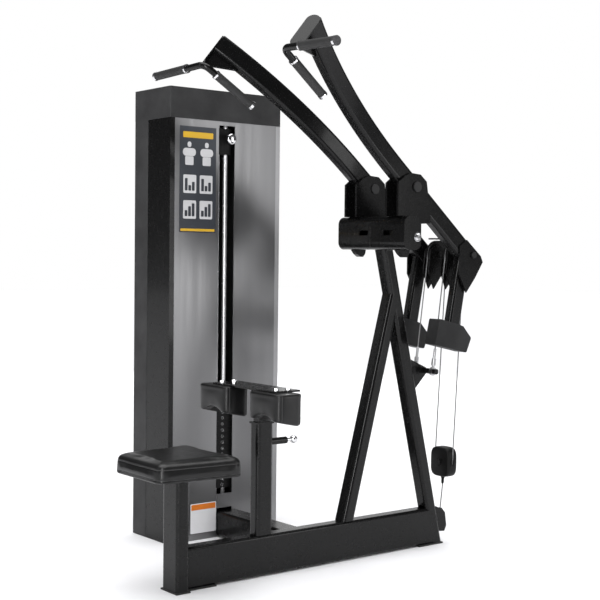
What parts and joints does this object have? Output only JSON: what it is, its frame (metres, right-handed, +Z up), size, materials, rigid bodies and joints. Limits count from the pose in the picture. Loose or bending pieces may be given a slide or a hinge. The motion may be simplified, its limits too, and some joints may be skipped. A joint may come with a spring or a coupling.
{
  "type": "lat pulldown machine",
  "caption": "Plate-stack gym machine: swinging pull-down arms with angled handles on an A-frame, a padded seat, thigh pads and an enclosed weight tower.",
  "frame": {"origin": "middle of the footprint, on the floor", "axes": "+X is the way the seated user faces, +Y is towards the weight tower, +Z is up"},
  "size_m": [1.519, 1.4164, 1.9968],
  "materials": {
    "black_powder": "satin black powder coat",
    "tower_grey": "satin grey powder coat",
    "tower_dark": "satin dark grey powder coat",
    "chrome": "polished",
    "steel": "zinc plated",
    "iron": "painted black",
    "rubber": "matt",
    "vinyl": "padded vinyl",
    "nylon": "matt",
    "placard": "printed",
    "counter": "dark grey paint"
  },
  "bodies": {
    "frame": {"rear_leg": "black_powder", "front_leg": "black_powder", "base_rail": "black_powder", "seat_post": "black_powder", "thigh_post": "black_powder", "rubber_feet": "rubber", "cross_tube": "black_powder", "crosshead": "black_powder", "pivot_brackets": "black_powder", "pivot_pins": "steel", "stop_bumpers": "rubber", "cable_anchor": "black_powder", "cable_fittings": "steel", "tower_front_panel": "tower_grey", "tower_left_shell": "black_powder", "tower_right_shell": "tower_grey", "tower_back_panel": "tower_dark", "tower_plates": "black_powder", "tower_cap": "tower_dark", "guide_rods": "chrome", "stack_cushions": "rubber", "weight_plates": "iron", "placards": "placard", "seat_pad": "vinyl", "pulley_axles": "steel", "pulley_cheeks": "black_powder", "arm_cable": "steel", "rear_cable": "steel", "stack_cable": "steel"},
    "stack_head": {"stack_head": "iron"},
    "selector_pin": {"selector_pin": "steel"},
    "increment_weight": {"increment_weight": "iron"},
    "right_arm": {"right_arm_tube": "black_powder", "right_down_tube": "black_powder", "right_counterweight": "counter", "right_handle_bar": "black_powder", "right_handle_grips": "rubber", "right_grip_collars": "chrome", "right_arm_pulley_axle": "steel"},
    "right_arm_pulley": {"right_arm_pulley": "nylon"},
    "left_arm": {"left_arm_tube": "black_powder", "left_down_tube": "black_powder", "left_counterweight": "counter", "left_handle_bar": "black_powder", "left_handle_grips": "rubber", "left_grip_collars": "chrome", "left_arm_pulley_axle": "steel"},
    "left_arm_pulley": {"left_arm_pulley": "nylon"},
    "thigh_carriage": {"thigh_carriage": "black_powder", "right_thigh_pad": "vinyl", "left_thigh_pad": "vinyl"},
    "pull_pin": {"pull_pin": "steel"},
    "floating_block": {"floating_block_housing": "nylon", "floating_block_axle": "steel"},
    "floating_pulley": {"floating_pulley": "nylon"},
    "foot_pulley": {"foot_pulley": "nylon"},
    "corner_pulley": {"corner_pulley": "nylon"},
    "base_pulley": {"base_pulley": "nylon"},
    "rear_top_pulley": {"rear_top_pulley": "nylon"},
    "front_top_pulley": {"front_top_pulley": "nylon"}
  },
  "joints": [
    {"name": "right_arm_swing", "type": "hinge", "parent": "frame", "child": "right_arm", "pos_m": [0.38039, -0.27983, 1.438], "axis": [0, -1, 0], "range_deg": [0, 45], "deforming": ["arm_cable", "rear_cable", "stack_cable"]},
    {"name": "left_arm_swing", "type": "hinge", "parent": "frame", "child": "left_arm", "pos_m": [0.38039, -0.03983, 1.438], "axis": [0, -1, 0], "range_deg": [0, 45]},
    {"name": "floating_block_travel", "type": "slide", "parent": "frame", "child": "floating_block", "axis": [0.0563, 0, 0.9984], "range_m": [0, 0.605]},
    {"name": "weight_stack_lift", "type": "slide", "parent": "frame", "child": "stack_head", "axis": [0, 0, 1], "range_m": [0, 0.605]},
    {"name": "selector_pin_pull", "type": "slide", "parent": "stack_head", "child": "selector_pin", "axis": [0, -1, 0], "range_m": [0, 0.07]},
    {"name": "increment_weight_slide", "type": "slide", "parent": "frame", "child": "increment_weight", "axis": [0, 0, -1], "range_m": [0, 0.33]},
    {"name": "thigh_pad_height", "type": "slide", "parent": "frame", "child": "thigh_carriage", "axis": [0, 0, 1], "range_m": [-0.05, 0.125]},
    {"name": "pull_pin_engage", "type": "slide", "parent": "frame", "child": "pull_pin", "axis": [-1, 0, 0], "range_m": [0, 0.017]},
    {"name": "right_arm_pulley_spin", "type": "hinge", "parent": "right_arm", "child": "right_arm_pulley", "pos_m": [0.70039, -0.20983, 1.18], "axis": [0, 1, 0], "continuous": true},
    {"name": "left_arm_pulley_spin", "type": "hinge", "parent": "left_arm", "child": "left_arm_pulley", "pos_m": [0.70039, -0.10983, 1.18], "axis": [0, 1, 0], "continuous": true},
    {"name": "floating_pulley_spin", "type": "hinge", "parent": "floating_block", "child": "floating_pulley", "pos_m": [0.70539, -0.15983, 0.33], "axis": [1, 0, 0], "continuous": true},
    {"name": "foot_pulley_spin", "type": "hinge", "parent": "frame", "child": "foot_pulley", "pos_m": [0.64039, -0.15983, 0.104], "axis": [0, 1, 0], "continuous": true},
    {"name": "corner_pulley_spin", "type": "hinge", "parent": "frame", "child": "corner_pulley", "pos_m": [0.04489, -0.13483, 0.06], "axis": [0, 0, 1], "continuous": true},
    {"name": "base_pulley_spin", "type": "hinge", "parent": "frame", "child": "base_pulley", "pos_m": [0.01989, 0.64017, 0.105], "axis": [1, 0, 0], "continuous": true},
    {"name": "rear_top_pulley_spin", "type": "hinge", "parent": "frame", "child": "rear_top_pulley", "pos_m": [0.01989, 0.64917, 1.77], "axis": [1, 0, 0], "continuous": true},
    {"name": "front_top_pulley_spin", "type": "hinge", "parent": "frame", "child": "front_top_pulley", "pos_m": [0.01989, 0.55217, 1.77], "axis": [1, 0, 0], "continuous": true}
  ],
  "couplings": [
    {"joint": "left_arm_swing", "follows": "right_arm_swing", "ratio": 1},
    {"joint": "floating_block_travel", "follows": "right_arm_swing", "m_per_rad": 0.769},
    {"joint": "weight_stack_lift", "follows": "right_arm_swing", "m_per_rad": 0.769}
  ]
}
